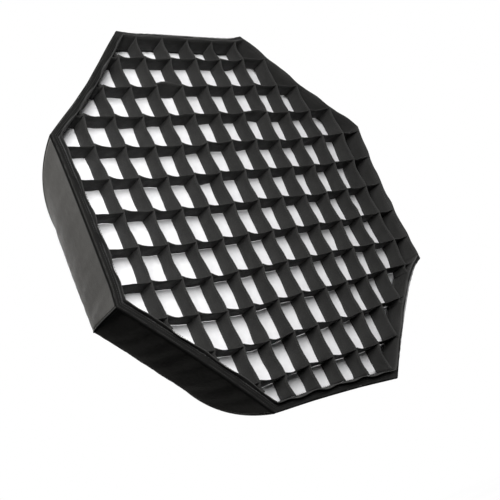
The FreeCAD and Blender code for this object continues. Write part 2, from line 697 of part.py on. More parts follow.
def make_clamps():
    """Round clamp discs that hold the adapter's flange down, with their slotted screws."""
    discs = []
    screws = []
    for number in range(CLAMPS):
        angle = RING_TURN + 90.0 * number - CLAMP_ANGLE
        x = dim("clamp_circle") * math.cos(math.radians(angle))
        z = dim("clamp_circle") * math.sin(math.radians(angle))
        rearwards = Rotation(Vector(0, 0, 1), Vector(0, 1, 0))

        def round_bar(name, radius, length, y):
            bar = doc.addObject("Part::Cylinder", "%s_%d" % (name, number))
            bar.setExpression("Radius", radius)
            bar.setExpression("Height", length)
            bar.Placement = Placement(Vector(x, y, z), rearwards)
            return bar

        disc = doc.addObject("Part::Cut", "clamp_disc_%d" % number)
        disc.Base = round_bar("disc_blank", "Dims.disc_radius", "Dims.disc_thick", ring_y(0))
        disc.Tool = round_bar("disc_hole", "Dims.screw_radius + Dims.screw_clear",
                              "2 * Dims.disc_thick", ring_y(dim("disc_thick") / 2))
        discs.append(disc)

        head_y = ring_y(-dim("disc_thick"))
        shank = round_bar("shank", "Dims.screw_radius",
                          "Dims.boss_depth + Dims.disc_thick - Dims.screw_short",
                          ring_y(dim("boss_depth") - dim("screw_short")))
        head = round_bar("head", "Dims.screw_head_radius", "Dims.disc_thick", head_y)
        solid = doc.addObject("Part::Fuse", "screw_blank_%d" % number)
        solid.Base = shank
        solid.Tool = head
        slot = doc.addObject("Part::Box", "screw_slot_%d" % number)
        slot.setExpression("Length", "2 * Dims.disc_radius")
        slot.setExpression("Width", "2 * Dims.driver_slot_depth")
        slot.setExpression("Height", "Dims.driver_slot_width")
        corner = Vector(-dim("disc_radius"), dim("disc_thick") - dim("driver_slot_depth"),
                        -dim("driver_slot_width") / 2)
        turn = Placement(Vector(x, head_y, z), Rotation(Vector(0, 1, 0), SCREW_TURNS[number]))
        slot.Placement = turn.multiply(Placement(corner, Rotation()))
        screw = doc.addObject("Part::Cut", "clamp_screw_%d" % number)
        screw.Base = solid
        screw.Tool = slot
        screws.append(screw)
    group("clamp_discs", discs)
    group("clamp_screws", screws)


# ---------------------------------------------------------------- build, check, export

make_adapter()
make_speed_ring()
make_clamps()
make_rods()
make_panels()
make_collar()
make_bands()
make_strips()
doc.recompute()

for item in doc.Objects:
    if "Invalid" in item.State or "Error" in item.State:
        raise RuntimeError("%s failed: %s" % (item.Name, item.State))

os.makedirs("parts", exist_ok=True)
for name, item in parts.items():
    shape = item.Shape
    if shape.isNull() or not shape.isValid():
        raise RuntimeError("%s has no valid shape" % name)
    shape.exportStep("parts/%s.step" % name)
    print("%-20s solids %d  volume %.0f mm3" % (name, len(shape.Solids), shape.Volume))
print(len(parts), "nodes")
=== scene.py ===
"""Looks of the octagonal softbox with its honeycomb grid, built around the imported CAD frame.

Row frame: +Z up, the light leaves along -Y, the lamp head stands behind on +Y. Metres.
"Depth" is measured rearwards from the rim plane, the plane of the shell's front edge.
Sides are numbered from +X towards +Z in steps of 45 degrees: 0 right, 2 top, 4 left, 6 bottom.
"""

import math

import bpy
import numpy as np
from mathutils import Matrix, Vector


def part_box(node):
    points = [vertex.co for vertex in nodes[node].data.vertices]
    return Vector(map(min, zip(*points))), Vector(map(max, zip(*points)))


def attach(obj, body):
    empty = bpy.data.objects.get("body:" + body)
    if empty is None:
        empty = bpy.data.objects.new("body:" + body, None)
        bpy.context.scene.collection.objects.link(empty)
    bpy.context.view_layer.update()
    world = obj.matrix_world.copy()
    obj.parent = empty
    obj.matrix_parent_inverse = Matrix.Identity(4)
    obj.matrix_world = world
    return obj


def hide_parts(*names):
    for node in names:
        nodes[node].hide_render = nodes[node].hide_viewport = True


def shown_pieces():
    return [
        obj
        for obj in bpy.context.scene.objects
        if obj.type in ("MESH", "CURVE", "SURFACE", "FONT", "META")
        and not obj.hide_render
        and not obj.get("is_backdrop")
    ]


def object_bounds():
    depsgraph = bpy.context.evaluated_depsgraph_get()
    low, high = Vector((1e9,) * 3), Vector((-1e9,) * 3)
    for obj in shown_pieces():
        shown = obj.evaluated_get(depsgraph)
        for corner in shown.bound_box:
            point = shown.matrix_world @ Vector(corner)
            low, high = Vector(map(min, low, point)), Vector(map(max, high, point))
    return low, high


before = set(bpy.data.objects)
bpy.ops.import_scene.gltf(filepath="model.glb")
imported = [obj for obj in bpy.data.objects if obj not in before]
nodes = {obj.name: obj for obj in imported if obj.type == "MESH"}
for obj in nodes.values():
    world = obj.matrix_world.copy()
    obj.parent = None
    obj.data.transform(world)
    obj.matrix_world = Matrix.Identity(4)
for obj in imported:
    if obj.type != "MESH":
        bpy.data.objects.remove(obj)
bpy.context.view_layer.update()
random = np.random.default_rng(11)

# ---- sizes read from the frame

SIDES = 8
HALF = math.pi / SIDES
TAN_HALF = math.tan(HALF)
COS_HALF = math.cos(HALF)
RIM_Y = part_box("front_hem")[1].y
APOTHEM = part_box("front_hem")[1].x
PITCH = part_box("grid_upright_06")[0].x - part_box("grid_upright_05")[0].x
STRIPS = 5                     # strips on each side of the middle one
OPENING = 0.450                # half the octagon's width, across its flats
GRID_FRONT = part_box("grid_border")[0].y - RIM_Y
GRID_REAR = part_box("grid_border")[1].y - RIM_Y
LIP_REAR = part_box("shell_lip")[1].y - RIM_Y
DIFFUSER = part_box("diffuser_cloth")[0].y - RIM_Y
LIP_LEAN = 0.268               # how far the lip leans in per metre of depth
EASE = 0.22                    # how much less the cloth leans between the corners,
EASED_DEPTH = 0.036            # down to this depth
MM = 0.001

# the bow of the shell and of the rods, an arc in each corner plane
BOW_R, BOW_D = -0.19795, -0.1708              # its centre, as (distance from the axis, depth)
BOW_SHELL, BOW_ROD = 0.706, 0.698             # its radius
SLOPE_RIM, SLOPE_REAR = math.radians(14.0), math.radians(65.5)
PULL_DEPTH = 0.26              # depth at which the shell no longer follows the rim's pull


def side_axes(side):
    """Outward normal and tangent of a side, as (x, z)."""
    a = side * 2 * HALF
    return np.array([math.cos(a), math.sin(a)]), np.array([-math.sin(a), math.cos(a)])


def bow(slope, radius=BOW_SHELL):
    """(distance from the axis, depth) on the bow at a slope in radians."""
    return BOW_R + radius * np.cos(slope), BOW_D + radius * np.sin(slope)


# ---- how the cloth pulls

# How far the cloth draws in along each side, in millimetres, at five places t along it. In
# all that follows t runs from -1 at a side's first corner to 1 at its next corner.
DRAWN_AT = (-0.8, -0.4, 0, 0.4, 0.8)
DRAWN_IN = (
    (3, 6, 7, 6, 2),           # right
    (-3, 2, 4, 1, -3),         # upper right
    (8, 8, 7, 6, 6),           # top
    (3, 8, 11, 9, 3),          # upper left
    (4, 6, 7, 7, 6),           # left
    (3, 5, 6, 5, 3),           # lower left
    (1, 2, 2, 2, 1),           # bottom
    (3, 8, 12, 15, 11),        # lower right
)
# How far the cloth reaches out past each corner, in millimetres, from the corner at 22.5
# degrees on in the same sense.
REACHES_OUT = (13, 4, -5, -2, -2, 3, 4, 6)
T_FINE = np.linspace(-1, 1, 201)
SMOOTHED_OVER = 25             # samples of T_FINE


def drawn_curves():
    """Smooth inward draw along each side, in metres, at T_FINE."""
    curves = []
    kernel = np.hanning(SMOOTHED_OVER + 2)[1:-1]
    kernel /= kernel.sum()
    for row in DRAWN_IN:
        raw = np.interp(T_FINE, (-1, *DRAWN_AT, 1), (0, *row, 0))
        padded = np.pad(raw, SMOOTHED_OVER // 2, mode="reflect", reflect_type="odd")
        curves.append(np.convolve(padded, kernel, "valid") * MM)
    return curves


DRAWN = drawn_curves()


def drawn(side, t, apothem):
    """Inward draw of the cloth on a side, less towards the axis."""
    return np.interp(t, T_FINE, DRAWN[side]) * np.clip(apothem / APOTHEM, 0, 1) ** 1.5


def reached(side, t, apothem):
    """(x, z) moves of the cloth near the two corners of a side."""
    near = np.clip(apothem / APOTHEM, 0, 1) ** 3 * MM
    dx = dz = 0.0
    for corner, share in ((side, (1 + t) / 2), ((side - 1) % SIDES, (1 - t) / 2)):
        a = (2 * corner + 1) * HALF
        far = REACHES_OUT[corner] * np.clip(share, 0, 1) ** 4 * near
        dx, dz = dx + far * math.cos(a), dz + far * math.sin(a)
    return dx, dz


def eased(t, depth):
    """How far the bands in the opening stand outside the lip's lean, between the corners."""
    return EASE * np.clip(depth, 0, EASED_DEPTH) * (1 - np.clip(np.abs(t), 0, 1) ** 8)


def pulled(depth):
    """Share of the rim's pull that is left in the shell at a depth."""
    return np.clip(1 - depth / PULL_DEPTH, 0, 1) ** 1.6


def warp(points):
    """Moves points in the octagon's opening with the cloth; points is (..., 3)."""
    p = np.array(points, float)
    x, z = p[..., 0], p[..., 2]
    turn = np.round(np.arctan2(z, x) / (2 * HALF)).astype(int) % SIDES
    for side in range(SIDES):
        n, k = side_axes(side)
        mine = turn == side
        a = x[mine] * n[0] + z[mine] * n[1]
        t = (x[mine] * k[0] + z[mine] * k[1]) / np.maximum(a * TAN_HALF, 1e-6)
        d = drawn(side, t, a)
        dx, dz = reached(side, t, a)
        p[mine, 0] += dx - n[0] * d
        p[mine, 2] += dz - n[1] * d
    return p


def waves(u, v, size, seed):
    """Smooth random field of unit order; u, v and size are in metres."""
    rng = np.random.default_rng(seed)
    total = 0.0
    for _ in range(7):
        angle, phase = rng.uniform(0, 2 * math.pi, 2)
        pitch = size * rng.uniform(0.7, 1.9)
        total += np.sin(2 * math.pi * (u * math.cos(angle) + v * math.sin(angle)) / pitch + phase)
    return total / 2.6


# ---- mesh helpers

def mesh_object(name, points, faces, flat=None, materials=(), smooth=True):
    """A mesh object; flat gives each point its place on the flat cloth, in metres."""
    mesh = bpy.data.meshes.new(name)
    mesh.from_pydata([tuple(p) for p in points], [], [tuple(int(i) for i in f) for f in faces])
    if flat is not None:
        place = mesh.attributes.new("flat", "FLOAT_VECTOR", "POINT")
        place.data.foreach_set("vector", np.asarray(flat, np.float32).ravel())
    for polygon in mesh.polygons:
        polygon.use_smooth = smooth
    mesh.validate()
    mesh.update()
    obj = bpy.data.objects.new(name, mesh)
    bpy.context.scene.collection.objects.link(obj)
    for material in materials:
        mesh.materials.append(material)
    return obj


def lattice_faces(rows, columns, closed=False, skip=None):
    """Quads of a rows x columns lattice; closed joins the last row to the first."""
    faces = []
    for r in range(rows if closed else rows - 1):
        after = (r + 1) % rows
        for c in range(columns - 1):
            if skip is None or not skip(r, c):
                faces.append((r * columns + c, after * columns + c,
                              after * columns + c + 1, r * columns + c + 1))
    return faces


def cloth(name, points, flat, materials, thickness, closed=False, skip=None, offset=0.0,
          hems=None, flip=False, inner=0):
    """A sheet of cloth from a lattice of points (rows, columns, 3), given a real thickness.

    offset is the modifier's own: 0 thickens to both sides, -1 to the back of the faces.
    hems is a per-point share from 0 to 1, where 1 is the full thickness of a folded hem.
    inner is the number of materials from the front of the cloth to that of its back.
    """
    rows, columns = points.shape[:2]
    faces = lattice_faces(rows, columns, closed, skip)
    if flip:
        faces = [f[::-1] for f in faces]
    place = np.zeros((rows, columns, 3))
    place[..., 0], place[..., 1] = flat
    obj = mesh_object(name, points.reshape(-1, 3), faces, place.reshape(-1, 3), materials)
    solid = obj.modifiers.new("thickness", "SOLIDIFY")
    solid.thickness, solid.offset = thickness, offset
    solid.material_offset = inner
    solid.use_even_offset = False
    if hems is not None:
        group = obj.vertex_groups.new(name="hem")
        share = np.broadcast_to(hems, (rows, columns)).reshape(-1)
        for level in np.unique(np.round(share, 2)):
            found = np.nonzero(np.round(share, 2) == level)[0]
            group.add([int(i) for i in found], float(level), "REPLACE")
        solid.vertex_group = "hem"
    return obj


def area_of(p):
    """Area of a lattice of points."""
    a, b, c, d = p[:-1, :-1], p[1:, :-1], p[1:, 1:], p[:-1, 1:]
    return float(np.linalg.norm(np.cross(c - a, d - b), axis=-1).sum() / 2)


def dress(obj, body, slot_name, *replaced):
    """Rides a piece on its body and hides the CAD nodes it stands for. slot_name is not used."""
    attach(obj, body)
    if replaced:
        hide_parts(*replaced)


def bar_faces(base, rings, sides):
    """Faces of a closed bar, whose rings of vertices are numbered from base on."""
    faces = []
    for r in range(rings - 1):
        for s in range(sides):
            t = (s + 1) % sides
            faces.append((base + r * sides + s, base + r * sides + t,
                          base + (r + 1) * sides + t, base + (r + 1) * sides + s))
    last = base + (rings - 1) * sides
    faces.append(tuple(base + s for s in reversed(range(sides))))
    faces.append(tuple(last + s for s in range(sides)))
    return faces


def tubes(name, paths, radii, materials, sides=10):
    """Closed round bars along paths; radii is one radius per path point."""
    verts, faces = [], []
    for path in paths:
        path = np.asarray(path, float)
        ahead = np.gradient(path, axis=0)
        ahead /= np.linalg.norm(ahead, axis=1)[:, None]
        out = path * (1, 0, 1)
        out /= np.maximum(np.linalg.norm(out, axis=1), 1e-9)[:, None]
        out -= (out * ahead).sum(1)[:, None] * ahead
        out /= np.linalg.norm(out, axis=1)[:, None]
        across = np.cross(ahead, out)
        base = len(verts)
        for k in range(len(path)):
            for a in np.arange(sides) * 2 * math.pi / sides:
                verts.append(path[k] + radii[k] * (math.cos(a) * out[k]
                                                   + math.sin(a) * across[k]))
        faces += bar_faces(base, len(path), sides)
    return mesh_object(name, verts, faces, None, materials)


STITCH_RINGS = ((-0.5, 0.35), (-0.32, 1.0), (0.32, 1.0), (0.5, 0.35))
STITCH_SIDES = 6
STITCH_PROUD, STITCH_SUNK = 0.55, -0.6        # height over the cloth: middle, ends


def stitches(name, seams, material, pitch=0.0042, length=0.0030, width=0.00038):
    """Rows of thread stitches. Each seam is (path, outward direction at each path point).

    STITCH_RINGS holds (place in shares of the length, radius in shares of the width).
    """
    verts, faces = [], []
    for path, normals in seams:
        path, normals = np.asarray(path, float), np.asarray(normals, float)
        step = np.linalg.norm(np.diff(path, axis=0), axis=1)
        along = np.concatenate([[0], np.cumsum(step)])
        count = max(1, int(along[-1] / pitch))
        for where in (np.arange(count) + 0.5) * along[-1] / count:
            k = min(np.searchsorted(along, where) - 1, len(step) - 1)
            share = (where - along[k]) / max(step[k], 1e-9)
            ahead = (path[k + 1] - path[k]) / max(step[k], 1e-9)
            up = normals[k] - (normals[k] @ ahead) * ahead
            up /= max(np.linalg.norm(up), 1e-9)
            across = np.cross(ahead, up)
            middle = path[k] + share * (path[k + 1] - path[k])
            base = len(verts)
            for lengthwise, full in STITCH_RINGS:
                over = STITCH_PROUD if full == 1.0 else STITCH_SUNK
                for a in np.arange(STITCH_SIDES) * 2 * math.pi / STITCH_SIDES:
                    rise = width * full * (math.cos(a) + over)
                    verts.append(middle + ahead * lengthwise * length + up * rise
                                 + across * width * full * math.sin(a))
            faces += bar_faces(base, len(STITCH_RINGS), STITCH_SIDES)
    return mesh_object(name, verts, faces, None, [material])


# ---- materials

class Finish:
    """A node material; sockets of the main shader are set by keyword with _ for a space."""

    def __init__(self, name, **sockets):
        self.material = bpy.data.materials.new(name)
        self.material.use_nodes = True
        self.tree = self.material.node_tree
        self.shader = self.tree.nodes["Principled BSDF"]
        for key, value in sockets.items():
            self.shader.inputs[key.replace("_", " ")].default_value = value

    def node(self, kind, settings=None, **inputs):
        """A node with its settings and inputs; an input is named, or numbered as i0, i1."""
        made = self.tree.nodes.new(kind)
        for key, value in (settings or {}).items():
            setattr(made, key, value)
        for key, value in inputs.items():
            socket = made.inputs[int(key[1:]) if key[0] == "i" and key[1:].isdigit()
                                 else key.replace("_", " ")]
            if isinstance(value, bpy.types.NodeSocket):
                self.tree.links.new(value, socket)
            else:
                socket.default_value = value
        return made

    def link(self, output, socket):
        self.tree.links.new(output, self.shader.inputs[socket])

    def flat(self):
        """Place on the flat cloth, in metres."""
        return self.node("ShaderNodeAttribute", {"attribute_name": "flat"}).outputs["Vector"]

    def place(self):
        """Place in the object's own frame, in metres."""
        return self.node("ShaderNodeTexCoord").outputs["Object"]

    def noise(self, vector, scale, detail=3.0):
        return self.node("ShaderNodeTexNoise", Vector=vector, Scale=scale,
                         Detail=detail).outputs["Fac"]

    def blend(self, factor, low, high):
        """A colour from low to high as factor goes over 0.3 to 0.7."""
        ramp = self.node("ShaderNodeValToRGB", Fac=factor)
        for element, place, colour in zip(ramp.color_ramp.elements, (0.3, 0.7), (low, high)):
            element.position, element.color = place, (*colour, 1)
        return ramp.outputs["Color"]

    def level(self, factor, low, high):
        """A value from low to high as factor goes over 0.3 to 0.7."""
        return self.node("ShaderNodeMapRange", Value=factor, From_Min=0.3, From_Max=0.7,
                         To_Min=low, To_Max=high).outputs["Result"]

    def math(self, operation, a, b):
        return self.node("ShaderNodeMath", {"operation": operation}, i0=a, i1=b).outputs[0]

    def bump(self, height, distance, strength=1.0, under=None):
        """Relief of the main shader, laid over the relief under, if given."""
        made = self.node("ShaderNodeBump", Height=height, Distance=distance, Strength=strength)
        if under is not None:
            self.tree.links.new(under, made.inputs["Normal"])
        self.link(made.outputs["Normal"], "Normal")
        return made.outputs["Normal"]


def wave_scale(pitch):
    """Scale of the wave texture that repeats at a pitch in metres."""
    return 2 * math.pi / (20 * pitch)


def threads(finish, vector, pitch):
    """Height of a plain weave: threads along both ways of the cloth."""
    scale = wave_scale(pitch)
    waves_two = [finish.node("ShaderNodeTexWave", {"bands_direction": way}, Vector=vector,
                             Scale=scale, Distortion=0.6, Detail=1.0).outputs["Fac"]
                 for way in ("X", "Y")]
    return finish.math("MAXIMUM", *waves_two)


MOTTLE_SHARE = 0.45            # of a cloth's uneven colour; its slubs make the rest
SLUB_SCALE, GLOSS_SCALE, CREASE_SCALE = 340.0, 60.0, 38.0
GLOSS_SPREAD = 0.07
THREAD_HEIGHT = 0.00012


def fabric(name, dark, light, pitch, roughness, sheen=0.0, mottle=22.0, crease=0.0012,
           specular=0.4, **sockets):
    """Woven cloth: weave, slubs, soft creases and a mottled colour."""
    f = Finish(name, Sheen_Weight=sheen, Sheen_Roughness=0.45, Specular_IOR_Level=specular,
               **sockets)
    flat = f.flat()
    place = f.place()
    mottled = f.noise(place, mottle, 5.0)
    slub = f.noise(flat, SLUB_SCALE, 5.0)
    f.link(f.blend(f.math("ADD", f.math("MULTIPLY", mottled, MOTTLE_SHARE),
                          f.math("MULTIPLY", slub, 1 - MOTTLE_SHARE)), dark, light),
           "Base Color")
    f.link(f.level(f.noise(place, GLOSS_SCALE), roughness - GLOSS_SPREAD,
                   roughness + GLOSS_SPREAD), "Roughness")
    soft = f.bump(f.noise(place, CREASE_SCALE, 4.0), crease, 0.7)
    f.bump(threads(f, flat, pitch), THREAD_HEIGHT, 0.6, soft)
    return f.material


COARSE_SCALE, COARSE_SHARE = 26.0, 0.55       # large patches in a metal's colour
PITS_SCALE, PITS_DEPTH = 0.22, 2.2            # pits, in shares of the fine grain's


def metal(name, dark, light, roughness, grain, depth, metallic=1.0, streak=None):
    """Cast or machined metal with a real grain; streak stretches the grain along an axis."""
    f = Finish(name, Metallic=metallic)
    place = f.place()
    if streak is not None:
        place = f.node("ShaderNodeMapping", Vector=place, Scale=streak).outputs["Vector"]
    coarse = f.noise(place, COARSE_SCALE, 6.0)
    fine = f.noise(place, grain, 4.0)
    f.link(f.blend(f.math("ADD", f.math("MULTIPLY", coarse, COARSE_SHARE),
                          f.math("MULTIPLY", fine, 1 - COARSE_SHARE)), dark, light),
           "Base Color")
    f.link(f.level(coarse, roughness - 0.08, roughness + 0.1), "Roughness")
    rough = f.bump(fine, depth, 0.8)
    f.bump(f.noise(place, grain * PITS_SCALE, 3.0), depth * PITS_DEPTH, 0.5, rough)
    return f.material


def plastic(name, dark, light, roughness):
    """Moulded plastic with a fine grain."""
    f = Finish(name, Specular_IOR_Level=0.45)
    place = f.place()
    f.link(f.blend(f.noise(place, 90.0), dark, light), "Base Color")
    f.link(f.level(f.noise(place, 240.0), roughness - 0.06, roughness + 0.08), "Roughness")
    f.bump(f.noise(place, 2600.0, 2.0), 0.00008, 0.6)
    return f.material


def shades(value, spread, tint=(1.0, 0.985, 0.95)):
    """Dark and light of a near-grey colour."""
    return (tuple(value * (1 - spread) * c for c in tint),
            tuple(value * (1 + spread) * c for c in tint))


GRID_CLOTH = fabric("grid_nylon_weave", *shades(0.0190, 0.42), pitch=0.0007, roughness=0.70,
                    sheen=0.02, specular=0.22)
SHELL_CLOTH = fabric("shell_nylon_coated", *shades(0.0165, 0.22), pitch=0.00045,
                     roughness=0.80, mottle=9.0, crease=0.0012, specular=0.06)
TRIM_CLOTH = fabric("trim_webbing_ribbed", *shades(0.008, 0.25), pitch=0.0011,
                    roughness=0.80, sheen=0.01, specular=0.10)
LINING = fabric("shell_silver_lining", *shades(0.62, 0.10, (1, 1, 1)), pitch=0.0006,
                roughness=0.48, mottle=14.0, crease=0.0008, Metallic=0.45)
THREAD = fabric("black_thread", *shades(0.024, 0.2), pitch=0.0003, roughness=0.5)


def touch_tape_finish():
    """Black hook and loop pile."""
    f = Finish("touch_tape_pile", Roughness=0.95, Sheen_Weight=0.2)
    place = f.place()
    pile = f.node("ShaderNodeTexVoronoi", Vector=place, Scale=700.0).outputs["Distance"]
    f.link(f.blend(f.noise(place, 120.0, 5.0), (0.010, 0.010, 0.010), (0.03, 0.03, 0.03)),
           "Base Color")
    f.bump(pile, 0.0009, 0.9)
    return f.material


PASSES = 0.22                  # share of the light that goes through the diffuser


def diffuser_finish():
    """White translucent nylon: a diffuse front that also passes light."""
    f = Finish("diffuser_nylon_white", Roughness=0.7, Sheen_Weight=0.1)
    flat = f.flat()
    place = f.place()
    colour = f.blend(f.noise(place, 70.0, 6.0), (0.86, 0.86, 0.87), (0.93, 0.93, 0.935))
    f.link(colour, "Base Color")
    soft = f.bump(f.noise(place, 55.0, 5.0), 0.0014, 0.6)
    normal = f.bump(threads(f, flat, 0.0006), 0.00010, 0.5, soft)
    through = f.node("ShaderNodeBsdfTranslucent", Color=colour, Normal=normal)
    mixed = f.node("ShaderNodeMixShader", i0=PASSES, i1=f.shader.outputs[0],
                   i2=through.outputs[0])
    f.tree.links.new(mixed.outputs[0], f.tree.nodes["Material Output"].inputs["Surface"])
    return f.material


RIB_PITCH = 0.0016             # of the collar's elastic


def elastic_finish():
    """Black elastic with ribs across it."""
    f = Finish("collar_elastic_ribbed", Roughness=0.8, Sheen_Weight=0.08)
    flat = f.flat()
    ribs = f.node("ShaderNodeTexWave", {"bands_direction": "X"}, Vector=flat,
                  Scale=wave_scale(RIB_PITCH)).outputs["Fac"]
    f.link(f.blend(f.noise(flat, 300.0, 4.0), (0.010, 0.010, 0.010), (0.022, 0.021, 0.020)),
           "Base Color")
    f.bump(ribs, 0.0004, 0.8)
    return f.material


TOUCH_TAPE = touch_tape_finish()
DIFFUSER_CLOTH = diffuser_finish()
ELASTIC = elastic_finish()
CAST = metal("ring_cast_aluminium_grain", (0.36, 0.385, 0.36), (0.56, 0.585, 0.55), 0.46,
             1500.0, 0.00022)
TUBE_METAL = metal("adapter_aluminium_blasted", (0.50, 0.52, 0.49), (0.60, 0.62, 0.59), 0.40,
                   3800.0, 0.00006)
STEEL = metal("screw_steel_turned", (0.40, 0.40, 0.40), (0.62, 0.62, 0.60), 0.30, 2400.0,
              0.00005)
ROD_FINISH = metal("rod_fibreglass_fibres", (0.012, 0.012, 0.012), (0.05, 0.05, 0.048), 0.34,
                   900.0, 0.00008, metallic=0.0, streak=(3.0, 0.15, 3.0))
TIP_FINISH = plastic("tip_plastic_moulded", (0.012, 0.012, 0.012), (0.022, 0.022, 0.022), 0.42)


# ---- camera, light, floor

CAMERA_PLACE = (-1.4991, -1.9044, -0.7010)
CAMERA_RIGHT = Vector((0.7255, -0.5729, -0.3813))      # the picture's own right and up
CAMERA_UP = Vector((0.0950, -0.4654, 0.8800))
LENS, SENSOR_WIDTH = 71.8, 36.0                        # millimetres
SIGHT = 60.0                                           # farthest distance seen, in metres

backwards = CAMERA_RIGHT.cross(CAMERA_UP).normalized()
upwards = backwards.cross(CAMERA_RIGHT).normalized()
camera = bpy.data.objects.new("camera", bpy.data.cameras.new("camera"))
bpy.context.scene.collection.objects.link(camera)
camera.data.lens = LENS
camera.data.sensor_width = SENSOR_WIDTH
camera.data.clip_end = SIGHT
turned = Matrix((CAMERA_RIGHT.normalized(), upwards, backwards)).transposed().to_4x4()
camera.matrix_world = Matrix.Translation(CAMERA_PLACE) @ turned
bpy.context.scene.camera = camera


def area_light(name, place, target, size, power, colour=(1, 1, 1)):
    """A round soft light of a diameter in metres and a power in watts."""
    light = bpy.data.lights.new(name, "AREA")
    light.shape, light.size, light.energy, light.color = "DISK", size, power, colour
    obj = bpy.data.objects.new(name, light)
    bpy.context.scene.collection.objects.link(obj)
    obj.location = place
    obj.rotation_mode = "QUATERNION"
    obj.rotation_quaternion = (Vector(place) - Vector(target)).to_track_quat("Z", "Y")
    obj.visible_camera = False
    return obj


FACE_CENTRE = (0.0, RIM_Y, 0.0)
WARM = (1.0, 0.985, 0.96)
lights = [
    area_light("key", (-1.40, -2.10, 0.30), FACE_CENTRE, 1.25, 80.0),
    area_light("left", (-2.0, 0.5, 1.9), (-0.4, -0.3, 0.0), 1.3, 390.0, WARM),
    area_light("right", (2.3, 0.1, 1.0), (0.4, -0.2, 0.0), 1.3, 110.0),
    area_light("rear", (1.2, 2.3, 1.4), (0, 0, 0), 1.6, 120.0),
    area_light("right_front", (1.9, -1.7, 0.9), FACE_CENTRE, 1.5, 60.0),
    area_light("behind_ring", (-0.5, 1.5, 0.5), (0, 0, 0), 1.8, 55.0)]

# a surround that looks white and lights the object only softly
SURROUND_SEEN, SURROUND_LIGHT = 1.0, 0.05
world = bpy.data.worlds.new("studio")
bpy.context.scene.world = world
world.use_nodes = True
surround = world.node_tree
sky_nodes = surround.nodes
seen = sky_nodes.new("ShaderNodeBackground")
for shown, strength in ((seen, SURROUND_SEEN), (sky_nodes["Background"], SURROUND_LIGHT)):
    shown.inputs["Strength"].default_value = strength
    shown.inputs["Color"].default_value = (1, 1, 1, 1)
ray = sky_nodes.new("ShaderNodeLightPath")
mix = sky_nodes.new("ShaderNodeMixShader")
surround.links.new(ray.outputs["Is Camera Ray"], mix.inputs[0])
surround.links.new(sky_nodes["Background"].outputs[0], mix.inputs[1])
surround.links.new(seen.outputs[0], mix.inputs[2])
surround.links.new(mix.outputs[0], sky_nodes["World Output"].inputs["Surface"])
bpy.context.scene.view_settings.view_transform = "Standard"

FLOOR_Z = -1.05                # well below the object, which a stand would hold
FLOOR_HALF = 30.0
FLOOR_GLOW = (0.94, 0.96)      # its own light, so that it looks as pale as the surround
floor = mesh_object("studio_floor", [(x * FLOOR_HALF, y * FLOOR_HALF, FLOOR_Z) for x, y in
                                     ((-1, -1), (1, -1), (1, 1), (-1, 1))], [(0, 1, 2, 3)])


def floor_finish():
    """Pale, faintly mottled paper."""
    f = Finish("floor_paper", Roughness=0.9, Specular_IOR_Level=0.1,
               Emission_Color=(1, 1, 1, 1))
    place = f.place()
    f.link(f.blend(f.noise(place, 3.0), (0.86, 0.86, 0.86), (0.90, 0.90, 0.90)), "Base Color")
    f.link(f.level(f.noise(place, 0.8, 4.0), *FLOOR_GLOW), "Emission Strength")
    return f.material


floor.data.materials.append(floor_finish())
floor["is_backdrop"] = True

# ---- the grid's strips

STRIP_THICK = 0.0010
STRIP_REACH = OPENING - 0.0194                # strip ends, as an apothem in the rim plane
END_CLEAR = 0.008              # least room between a strip's end and its last crossing
SLOT_HALF = 0.0007             # half the width of a slot at a crossing
CELL_STEPS = 8
DEPTH_STEPS = 8
LEAN_SIDEWAYS = 0.022          # how far uprights lean sideways per metre of height
LEFT_CROWDED = 0.009           # how far the leftmost upright stands in from its pitch
UPRIGHT_BOW, UPRIGHT_BOW_ENDS = 0.0025, 0.004          # in the middle, and 0.3 m from it
CROSS_RISE = 0.016             # rise of the cross strips 0.4 m to the right
# dip of the cross strips left of the middle: place, half width, depth at the top, more below
DIP_AT, DIP_HALF, DIP, DIP_LOW = -0.21, 0.15, 0.003, 0.012
LOW_LIFT, LOW_LIFT_OVER = 0.003, 0.1                   # lift of the low ones on the right
HUMP_AT, HUMP_HALF, HUMP = 0.03, 0.10, 0.004           # hump of the high ones in the middle
# (kind, step, cell): how far that stretch's front edge buckles, upwards or to the right
BUCKLES = {("cross", 4, -2): 0.013, ("cross", 2, -2): -0.004, ("cross", 3, 1): 0.005,
           ("upright", 1, 5): -0.004, ("cross", -1, -3): -0.003}
BOTTOM_TUCK = 0.0014           # front edges of the uprights swing out low in each cell
CURL = 0.0085                  # front corners of the cross strips curl up beside an upright
CURL_LEAST = 0.45              # the flattest curl, as a share of that
CURL_REACH = 0.17              # share of a cell over which a curl dies out
FRONT_SPREAD, REAR_SPREAD, TWIST_SPREAD = 0.0010, 0.0011, 0.0006   # of the random bends
COCKLE, COCKLE_SIZE = 0.0005, 0.03                     # small unevenness of the cloth
SAG_FRONT, SAG_REAR = 0.0042, 0.0003                   # how far the edges sag in a cell
STRIP_HEM, STRIP_EDGE, STRIP_BODY = 1.0, 0.4, 0.75     # thickness in shares of STRIP_THICK
SEAM_BESIDE = 0.0022           # from a crossing to the seam that holds it


